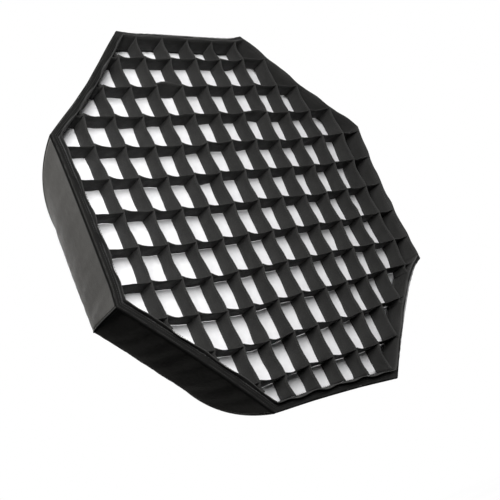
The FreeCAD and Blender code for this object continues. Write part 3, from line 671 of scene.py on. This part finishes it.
def strip_side(kind, step, s):
    """Sideways place of a strip at a distance s along it."""
    if kind == "upright":
        bowed = UPRIGHT_BOW + UPRIGHT_BOW_ENDS * (s / 0.3) ** 2
        return (step * PITCH - LEAN_SIDEWAYS * s
                + LEFT_CROWDED * (max(-step, 0) / STRIPS) ** 1.4
                + bowed * (1 - (abs(step) / (STRIPS + 1)) ** 3))
    low = np.clip(0.3 - step / STRIPS, 0, 1)           # 0 for the high strips, 1 for the low
    to_right = np.clip(s, 0, None)
    return (step * PITCH + CROSS_RISE * (to_right / 0.4) ** 2
            - (DIP + DIP_LOW * low ** 2) * np.exp(-((s - DIP_AT) / DIP_HALF) ** 2)
            + LOW_LIFT * low * (1 - np.exp(-(to_right / LOW_LIFT_OVER) ** 2))
            + HUMP * np.exp(-((s - HUMP_AT) / HUMP_HALF) ** 2) * (1 - low))


def crossing(i, j):
    """(x, z) where upright i meets cross strip j, closed in on by turns."""
    x, z = i * PITCH, j * PITCH
    for _ in range(8):
        z = strip_side("cross", j, x)
        x = strip_side("upright", i, z)
    return x, z


def strip_end(kind, step, sign, depth):
    """Signed distance along a strip at which it meets the border."""
    limit = s = STRIP_REACH - LIP_LEAN * depth
    for _ in range(14):
        aside = abs(float(strip_side(kind, step, sign * s)))
        t = aside / (limit * TAN_HALF)
        if t > 1:
            t = (s - aside) / math.sqrt(2) / (limit * TAN_HALF)
        room = limit + float(eased(t, depth))
        s = min(room, math.sqrt(2) * room - aside)
    return sign * s


def strip_stations(kind, step, depth, crossings):
    """Stations along a strip, the cell that each is in, and its share of that cell."""
    edges = [strip_end(kind, step, -1, depth)]
    for place in crossings:
        edges += [place - SLOT_HALF, place + SLOT_HALF]
    edges.append(strip_end(kind, step, 1, depth))
    start, stop = np.array(edges[::2])[:, None], np.array(edges[1::2])[:, None]
    share = np.linspace(0, 1, CELL_STEPS + 1)
    stations = start + share * (stop - start)
    return (stations.ravel(), np.repeat(np.arange(len(start)), CELL_STEPS + 1),
            np.tile(share, len(start)))


def make_strip(kind, step):
    """One cloth strip, pinned to its neighbours at the crossings and loose between them.

    Returns its seams.
    """
    upright = kind == "upright"
    crossings, numbers = [], []
    for other in range(-STRIPS, STRIPS + 1):
        place = crossing(step, other)[1] if upright else crossing(other, step)[0]
        low, high = (strip_end(kind, step, sign, GRID_REAR) for sign in (-1, 1))
        if low + END_CLEAR < place < high - END_CLEAR:
            crossings.append(place)
            numbers.append(other)
    cells = len(crossings) + 1
    first_cell = numbers[0] - 1
    front = random.normal(0, FRONT_SPREAD, cells)
    rear = random.normal(0, REAR_SPREAD, cells)
    twist = random.normal(0, TWIST_SPREAD, (cells, 2))
    curl = CURL * random.uniform(CURL_LEAST, 1.0, cells)
    for cell in range(cells):
        front[cell] += BUCKLES.get((kind, step, first_cell + cell), 0.0)
    seed = int(random.integers(1, 10**6))
    depths = np.linspace(GRID_FRONT, GRID_REAR, DEPTH_STEPS + 1)
    columns, lengths = [], []
    for v, depth in enumerate(depths):
        share_deep = v / DEPTH_STEPS
        s, c, q = strip_stations(kind, step, depth, crossings)
        side = strip_side(kind, step, s)
        loose = np.sin(math.pi * q)
        swing = np.sin(2 * math.pi * q)
        tuck = BOTTOM_TUCK * (1 - share_deep) ** 2 if upright else 0.0
        side = (side + loose * (front[c] * (1 - share_deep) ** 1.5 + rear[c] * share_deep ** 1.5)
                + swing * (twist[c, 0] * (1 - share_deep) + twist[c, 1] * share_deep + tuck)
                + loose * COCKLE * waves(s, np.full_like(s, depth), COCKLE_SIZE, seed))
        if not upright:
            # the slot's free corner, right of each upright; more so at the left of the grid
            amount = np.clip(0.62 - s / 0.75, 0.15, 1.0) * (c > 0)
            side = side + (curl[c] * amount * np.exp(-((q / CURL_REACH) ** 1.3))
                           * np.clip(1 - 2.2 * share_deep, 0, 1) ** 1.2)
        sag = loose * (SAG_FRONT * (1 - share_deep) - SAG_REAR * share_deep)
        x, z = (side, s) if upright else (s, side)
        columns.append(np.stack([x, RIM_Y + depth + sag, z], 1))
        lengths.append(s)
    points = warp(np.stack(columns, 1))
    length = np.stack(lengths, 1)
    slot_rows = {CELL_STEPS + cell * (CELL_STEPS + 1) for cell in range(cells - 1)}
    half_deep = DEPTH_STEPS // 2
    slotted = range(half_deep, DEPTH_STEPS) if upright else range(half_deep)
    hems = np.full(points.shape[:2], STRIP_BODY)
    hems[:, 1] = hems[:, -2] = STRIP_HEM
    hems[:, 0] = hems[:, -1] = STRIP_EDGE
    number = step + STRIPS + 1
    obj = cloth(f"strip_{kind}_{number:02d}", points,
                (length, np.broadcast_to(depths, length.shape)), [GRID_CLOTH], STRIP_THICK,
                skip=lambda r, column: r in slot_rows and column in slotted, hems=hems)
    dress(obj, "grid", "grid_nylon", f"grid_{kind}_{number:02d}")
    across, along = (np.array([1.0, 0, 0]), np.array([0, 0, 1.0]))[::1 if upright else -1]
    seams = []
    for sign in (-1, 1):
        facing = sign * across
        for v in (1, DEPTH_STEPS - 1):
            edge = points[:, v] + facing * 0.45 * STRIP_THICK
            seams.append((edge, np.broadcast_to(facing, edge.shape)))
        for r in sorted(slot_rows):
            # the seam that holds the crossing runs beside the other strip
            here = (points[r] + points[r + 1]) / 2 + facing * STRIP_THICK / 2
            here = here[:half_deep + 1] if upright else here[half_deep:]
            seams.append((here + SEAM_BESIDE * along, np.broadcast_to(facing, here.shape)))
    return seams


BORDER_BULGE = 0.0042          # of the border's front edge between the strips sewn to it
BORDER_HELD = 0.001            # that edge is held at and behind this depth,
BORDER_FREED = 0.013           # and quite free this far ahead of it


def slack(side, run, depth):
    """Outward bulge of the border's free front edge between the strips sewn to it."""
    between = PITCH * (math.sqrt(2) if side % 2 else 1.0)
    free = np.clip((BORDER_HELD - depth) / BORDER_FREED, 0, 1)
    return BORDER_BULGE * free * np.sin(math.pi * run / between) ** 2


RIPPLE_SIZE = 0.05


def ring_points(profile, per_side=40, keep=1.0, ripple=0.0, seed=0, bulging=False):
    """Points round the octagon; profile is (apothem, depth) across the cloth.

    ripple is the height of its folds, and keep their share at each point of the profile.
    Returns (points, length round the octagon, width across), closed in the first direction.
    """
    profile = np.asarray(profile, float)
    width = np.concatenate([[0], np.cumsum(np.linalg.norm(np.diff(profile, axis=0), axis=1))])
    rows, lengths = [], []
    for side in range(SIDES):
        n, k = side_axes(side)
        for t in np.linspace(-1, 1, per_side + 1)[:-1]:
            a = profile[:, 0].copy()
            run = t * a * TAN_HALF
            place = (side + (t + 1) / 2) * 2 * APOTHEM * TAN_HALF
            dx, dz = reached(side, t, a)
            a = a - drawn(side, t, a) + eased(t, profile[:, 1])
            if bulging:
                a = a + slack(side, run, profile[:, 1]) * (1 - abs(t) ** 6)
            depth = profile[:, 1]
            if ripple:
                fold = (1 - abs(t) ** 6) * ripple
                wave = keep * waves(np.full(len(a), place), width, RIPPLE_SIZE, seed)
                depth = depth + fold * wave
                a = a + 0.5 * fold * wave
            rows.append(np.stack([n[0] * a + k[0] * run + dx, RIM_Y + depth,
                                  n[1] * a + k[1] * run + dz], 1))
            lengths.append(np.full(len(a), place))
    return np.array(rows), np.array(lengths), np.broadcast_to(width, (len(rows), len(width)))


def leaned(apothem, depths):
    """Profile of a band that leans in with the lip, from an apothem in the rim plane."""
    return [(apothem - LIP_LEAN * d, d) for d in depths]


def ring_cloth(name, profile, material, thickness, body, slot_name, replaced, on=(), flip=False,
               hems=None, **how):
    """A stretched band of cloth round the octagon, from its profile."""
    points, u, v = ring_points(profile, **how)
    obj = cloth(name, points, (u, v), [material], thickness, closed=True, flip=flip, hems=hems)
    dress(obj, body, slot_name, replaced)


BORDER_APOTHEM = OPENING - 0.01855            # middle of its thickness, in the rim plane
BORDER_THICK = 0.0016
# its thickness and its freedom to ripple, in shares, from the front edge to the rear
BORDER_HEMS = np.array([1, 0.8, 0.7, 0.7, 0.7, 0.7, 0.7, 0.8, 1.0])
BORDER_KEEP = np.array([1, 0.8, 0.5, 0.35, 0.3, 0.3, 0.35, 0.5, 0.8])
border_depths = np.linspace(GRID_FRONT, GRID_REAR, len(BORDER_HEMS))
ring_cloth("border_band", leaned(BORDER_APOTHEM, border_depths), GRID_CLOTH, BORDER_THICK, "grid",
           "grid_nylon", "grid_border", on=["lip_band"], ripple=0.0009, seed=5, bulging=True,
           hems=BORDER_HEMS, keep=BORDER_KEEP)

grid_seams = []
for step in range(-STRIPS, STRIPS + 1):
    for kind in ("upright", "cross"):
        grid_seams += make_strip(kind, step)


def octagon_seam(apothem, depth, facing, per_side=60):
    """A seam round the octagon; facing is (outwards, rearwards) parts of its direction."""
    points = ring_points([(apothem, depth)], per_side=per_side)[0][:, 0]
    closed = np.concatenate([points, points[:1]])
    normals = []
    for side in range(SIDES):
        n = side_axes(side)[0]
        normals += [(n[0] * facing[0], facing[1], n[1] * facing[0])] * per_side
    return closed, np.array(normals + normals[:1])


BORDER_SEAM = 0.006            # from the border's edges to its seams
for depth in (GRID_FRONT + BORDER_SEAM, GRID_REAR - BORDER_SEAM):
    inside = BORDER_APOTHEM - LIP_LEAN * depth - 0.0009
    grid_seams.append(octagon_seam(inside, depth, (-1, 0)))
dress(stitches("grid_stitching", grid_seams, THREAD, pitch=0.0060, length=0.0042), "grid",
      "trim_webbing")

# ---- hem, lip and touch tapes

# the hem's fold over the rim, from the outside in, in millimetres from (OPENING, rim plane)
HEM_FOLD = ((-1.1, 6.5), (-0.4, 3.0), (-0.1, 0.5), (-0.5, -0.6), (-2.0, -1.1), (-5.0, -1.0),
            (-8.5, -0.8), (-11.5, -1.1), (-13.4, -1.0), (-14.0, -0.2), (-14.2, 1.6))
HEM_KEEP = np.array([0, 0, 0.1, 0.5, 0.9, 1.0, 0.8, 1.0, 0.6, 0.2, 0])
# its seams, each from OPENING inwards and the rim plane forwards, and the way each faces
HEM_SEAMS = ((0.0085, 0.0016, (0, -1)), (0.0125, 0.0018, (0, -1)), (0.0017, 0.0012, (0.3, -1)))
ring_cloth("front_hem_cloth", [(OPENING + a * MM, d * MM) for a, d in HEM_FOLD], TRIM_CLOTH,
           0.0011, "shell", "trim_webbing", "front_hem", on=["rod_tips"], ripple=0.0011, seed=9,
           keep=HEM_KEEP, per_side=56, flip=True)
dress(stitches("hem_stitching", [octagon_seam(OPENING - a, -d, facing)
                                 for a, d, facing in HEM_SEAMS], THREAD), "shell", "trim_webbing")

LIP_THICK, TAPE_THICK = 0.0012, 0.0013
LIP_APOTHEM, LOOP_APOTHEM, HOOK_APOTHEM = OPENING - 0.01375, OPENING - 0.01525, OPENING - 0.01705
TAPE_START = 0.002             # depth of the loop tape's and the grid's hook tape's front edge
ring_cloth("lip_band", leaned(LIP_APOTHEM, np.linspace(0.0015, LIP_REAR, 8)), SHELL_CLOTH,
           LIP_THICK, "shell", "shell_nylon", "shell_lip", on=["front_hem_cloth"])
for name, apothem, depths, body, replaced, under in (
        ("lip_loop_band", LOOP_APOTHEM, np.linspace(TAPE_START, 0.054, 7), "shell",
         "lip_loop_tape", "lip_band"),
        ("grid_hook_band", HOOK_APOTHEM, np.linspace(TAPE_START, 0.027, 4), "grid",
         "grid_hook_tape", "border_band"),
        ("diffuser_hook_band", HOOK_APOTHEM, DIFFUSER + np.linspace(0.001, 0.014, 3), "diffuser",
         "diffuser_hook_tape", "diffuser_sheet")):
    ring_cloth(name, leaned(apothem, depths), TOUCH_TAPE, TAPE_THICK, body, "touch_tape",
               replaced, on=[under])

# ---- diffuser

DIFFUSER_APOTHEM = OPENING - 0.0292
DIFFUSER_THICK = 0.0006
BILLOW, BILLOW_SIZE = (0.0003, 0.0001), (0.16, 0.05)   # large and small waves
PLEAT, PLEATS_ROUND = 0.0010, 150                      # drag lines at its edge
CORNER_PUSH, CORNER_WIDTH = 0.0035, 0.35               # the left corners stand forward
BELLY, BELLY_RIGHT = 0.0027, 0.0007                    # stands forward of its edge, and more


def make_diffuser():
    """White sheet behind the grid, tight at its edge, with a slight billow and drag lines."""
    fractions = np.linspace(0.02, 1.0, 50)
    per_side = 40
    rows = []
    for side in range(SIDES):
        n, k = side_axes(side)
        for t in np.linspace(-1, 1, per_side + 1)[:-1]:
            a = fractions * DIFFUSER_APOTHEM
            run = t * a * TAN_HALF
            a = a + eased(t, DIFFUSER) * fractions ** 6
            rows.append(np.stack([n[0] * a + k[0] * run, np.zeros_like(a),
                                  n[1] * a + k[1] * run], 1))
    flat = np.array(rows)
    points = warp(flat)
    x, z = flat[..., 0], flat[..., 2]
    share = np.broadcast_to(fractions, x.shape)
    angle = np.arctan2(z, x)
    corner = np.abs(((angle + HALF) / (2 * HALF) + 0.5) % 1 - 0.5) * 2
    near_corner = np.exp(-(corner / CORNER_WIDTH) ** 2) * np.clip((share - 0.75) / 0.2, 0, 1)
    tight = np.clip((1 - share) / 0.08, 0, 1)
    billow = sum(height * tight * waves(x, z, size, seed)
                 for height, size, seed in zip(BILLOW, BILLOW_SIZE, (21, 22)))
    pleat = PLEAT * np.sin(angle * PLEATS_ROUND) * np.clip((share - 0.86) / 0.12, 0, 1) ** 2
    left = np.exp(-(((np.abs(angle) - 7 * HALF) / 0.22) ** 2))
    push = CORNER_PUSH * left * np.clip((share - 0.7) / 0.2, 0, 1) * tight * near_corner
    forward = BELLY + BELLY_RIGHT * np.clip(x / 0.2, 0, 1)
    forward = forward * np.clip((1 - share) / 0.10, 0, 1) ** 0.6
    points[..., 1] = RIM_Y + DIFFUSER + 0.0005 + billow + pleat - push - forward
    count, columns = points.shape[:2]
    faces = lattice_faces(count, columns, closed=True)
    faces.append(tuple(r * columns for r in reversed(range(count))))     # closes the middle
    obj = mesh_object("diffuser_sheet", points.reshape(-1, 3), [f[::-1] for f in faces],
                      flat[..., [0, 2, 1]].reshape(-1, 3), [DIFFUSER_CLOTH])
    solid = obj.modifiers.new("thickness", "SOLIDIFY")
    solid.thickness, solid.offset = DIFFUSER_THICK, 0.0
    dress(obj, "diffuser", "diffuser_nylon", "diffuser_cloth")


make_diffuser()

# ---- shell panels

# how far each panel draws in between its rods, in millimetres; the left one is blown out
SADDLES = (4.5, 4.5, 4.5, 3.0, -0.4, 1.5, 4.0, 4.5)
PANEL_THICK = 0.0012
PANEL_GAP = 0.0016             # cloth edge to the corner plane
PANEL_LENGTH = 0.63            # along the bow, about
CREASE, CREASE_SIZE = 0.0006, 0.21            # soft creases all over
FOLD, FOLD_SIZE = 0.0005, 0.13                # and longer ones along the bow
PUCKER, PUCKER_PITCH, PUCKER_REACH = 0.0006, 0.021, 0.035    # where the hem is sewn
GATHER, GATHERS, GATHER_REACH = 0.0016, 2.75, 0.05           # where the collar draws it in


def panel_points(side, real=True):
    """Points of a panel, rows along the bow and columns across it, and its flat u and v.

    Without real it is taut, as it was cut.
    """
    slopes = np.linspace(SLOPE_RIM, SLOPE_REAR, 64)
    t = np.linspace(-1, 1, 41)
    t = np.sign(t) * (1 - (1 - np.abs(t)) ** 1.15)
    n, k = side_axes(side)
    radius, depth = bow(slopes)
    apothem = radius * COS_HALF
    half_width = apothem * TAN_HALF - PANEL_GAP
    share = (slopes - SLOPE_RIM) / (SLOPE_REAR - SLOPE_RIM)
    a, d = np.meshgrid(apothem, t, indexing="ij")[0], np.meshgrid(depth, t, indexing="ij")[0]
    s, tt = np.meshgrid(share, t, indexing="ij")
    run = half_width[:, None] * tt
    length = s * PANEL_LENGTH
    dx = dz = 0.0
    if real:
        slope = np.meshgrid(slopes, t, indexing="ij")[0]
        fade = pulled(d)
        inward = np.interp(t, T_FINE, DRAWN[side])[None, :] * fade
        inward = inward + SADDLES[side] * MM * np.sin(math.pi * s) ** 0.8 * (1 - tt ** 2)
        crease = (CREASE * waves(run + 3 * side, length, CREASE_SIZE, 40 + side)
                  + FOLD * waves(run * 4.0, length * 0.35, FOLD_SIZE, 60 + side))
        pucker = (PUCKER * np.sin((run + length * 0.05) * 2 * math.pi / PUCKER_PITCH)
                  * np.exp(-s / PUCKER_REACH))
        gather = GATHER * np.sin(tt * 2 * math.pi * GATHERS) * np.exp(-(1 - s) / GATHER_REACH)
        off_seams = np.clip((1 - np.abs(tt)) / 0.10, 0, 1)
        off_hem = np.clip(s / 0.01, 0, 1)
        inward = inward + off_seams * (off_hem * (crease + gather) + pucker)
        a = a - inward * np.cos(slope)
        d = d - inward * np.sin(slope)
        dx, dz = (move * fade for move in reached(side, tt, a))
    x = n[0] * a + k[0] * run + dx
    z = n[1] * a + k[1] * run + dz
    return np.stack([x, RIM_Y + d, z], -1), run, length


# each panel stands on the side where its CAD solid stands
for number in range(1, SIDES + 1):
    low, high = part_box(f"shell_panel_{number}")
    middle = (low + high) / 2
    side = round(math.atan2(middle.z, middle.x) / (2 * HALF)) % SIDES
    points, u, v = panel_points(side)
    panel = cloth(f"panel_{number}", points, (u, v), [SHELL_CLOTH, LINING], PANEL_THICK,
                  offset=-1.0, inner=1)
    dress(panel, "shell", "shell_nylon", f"shell_panel_{number}")
    area_of(panel_points(side, real=False)[0])


def corner_path(corner, radius, start, stop, count):
    """Points along a bow in a corner plane."""
    a = (corner + 0.5) * 2 * HALF
    r, d = bow(np.linspace(start, stop, count), radius)
    r = r + REACHES_OUT[corner] * MM * pulled(d)
    return np.stack([r * math.cos(a), RIM_Y + d, r * math.sin(a)], 1)


BOW_POINTS = 60
PIPING_RADIUS = 0.0013
PANEL_SEAM = 0.0052            # from the piping to the panel's seam
SEAM_START, SEAM_STOP = SLOPE_RIM + 0.01, SLOPE_REAR - 0.02
piping = tubes("seam_piping_cord",
               [corner_path(c, BOW_SHELL, SLOPE_RIM + 0.004, SLOPE_REAR, BOW_POINTS)
                for c in range(SIDES)], [PIPING_RADIUS] * BOW_POINTS, [TRIM_CLOTH])
dress(piping, "shell", "trim_webbing", "seam_piping")
panel_seams = []
slopes = np.linspace(SEAM_START, SEAM_STOP, BOW_POINTS)
for corner in range(SIDES):
    line = corner_path(corner, BOW_SHELL, SEAM_START, SEAM_STOP, BOW_POINTS)
    for side, sign in ((corner, -1), ((corner + 1) % SIDES, 1)):
        n, k = side_axes(side)
        out = np.stack([n[0] * np.cos(slopes), np.sin(slopes), n[1] * np.cos(slopes)], 1)
        beside = np.array([k[0], 0, k[1]]) * PANEL_SEAM * sign
        panel_seams.append((line + beside - out * PANEL_THICK / 2, out))
dress(stitches("panel_stitching", panel_seams, THREAD, pitch=0.0048), "shell", "trim_webbing")

# sleeves round the rods' front ends, a little fuller in the middle
POCKET_START, POCKET_STOP = math.radians(14.75), math.radians(17.4)
POCKET_POINTS = 16
fullness = np.sin(np.linspace(0.3, math.pi - 0.2, POCKET_POINTS))
pockets = tubes("corner_pocket_sleeves",
                [corner_path(c, BOW_ROD, POCKET_START, POCKET_STOP, POCKET_POINTS)
                 for c in range(SIDES)], 0.0047 + 0.0008 * fullness, [TRIM_CLOTH], sides=16)
dress(pockets, "shell", "trim_webbing", "corner_pockets")

COLLAR_THICK = 0.0011
COLLAR_AROUND = 480            # points round the collar


def make_collar():
    """Gathered elastic that draws the panels in round the speed ring.

    It starts eight-sided under the panels' edge, turns round, and folds in at its rear.
    """
    low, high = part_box("rear_collar")
    radius = high.x - 0.0003
    profile_y = np.concatenate([[low.y - 0.0030, low.y - 0.0012], np.linspace(low.y, high.y, 9),
                                [high.y + 0.0002, high.y - 0.0008]])
    eight_sided = np.concatenate([[1.0, 0.55], np.linspace(0.25, 0.0, 4), np.zeros(7)])
    inset = np.concatenate([np.zeros(11), [0.0007, 0.0013]])
    apothem = bow(SLOPE_REAR)[0] * COS_HALF - PANEL_THICK
    rows, lengths = [], []
    for a in np.arange(COLLAR_AROUND) * 2 * math.pi / COLLAR_AROUND:
        eight = apothem / math.cos((a + HALF) % (2 * HALF) - HALF)
        gather = 0.00045 * math.sin(a * 96) + 0.0002 * math.sin(a * 41 + 1)
        r = radius + eight_sided * (eight - radius) - inset + gather * (1 - eight_sided)
        rows.append(np.stack([r * math.cos(a), profile_y, r * math.sin(a)], 1))
        lengths.append(np.full(len(r), a * radius))
    points = np.array(rows)
    width = np.broadcast_to(profile_y - profile_y[0], points.shape[:2])
    obj = cloth("rear_collar_elastic", points, (np.array(lengths), width), [ELASTIC],
                COLLAR_THICK, closed=True, offset=-1.0, flip=True)
    dress(obj, "shell", "collar_elastic", "rear_collar")


make_collar()

# ---- finishes of the CAD nodes

CAD_FINISHES = {"speed_ring": CAST, "lamp_adapter": TUBE_METAL, "clamp_discs": CAST,
                "clamp_screws": STEEL, "rod_tips": TIP_FINISH}
CAD_FINISHES.update({f"rod_{k}": ROD_FINISH for k in range(1, SIDES + 1)})
for name, finish in CAD_FINISHES.items():
    materials = nodes[name].data.materials
    if not materials:
        materials.append(finish)
    for index in range(len(materials)):
        materials[index] = finish


# ---- what each light falls on

def lit(name, objects):
    """A collection for light linking."""
    group = bpy.data.collections.new(name)
    for obj in objects:
        group.objects.link(obj)
    return group


def named(*starts):
    return [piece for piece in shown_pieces() if piece.name.startswith(starts)]


# lamps leave the floor to the surround, and the bright floor lights nothing but itself
everything = lit("lit_by_lamps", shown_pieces())
panels = lit("lit_from_the_sides", named("panel_", "seam_piping"))
strips = lit("lit_from_right_front", named("strip_", "border_band", "front_hem"))
metals = lit("lit_behind_ring", [nodes[name] for name in ("speed_ring", "lamp_adapter",
                                                          "clamp_discs", "clamp_screws")])
lit_by = {"key": everything, "rear": everything, "left": panels, "right": panels,
          "right_front": strips, "behind_ring": metals}
for light in lights:
    light.light_linking.receiver_collection = lit_by[light.name]
floor.light_linking.receiver_collection = lit("lit_by_floor", [floor])

low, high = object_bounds()
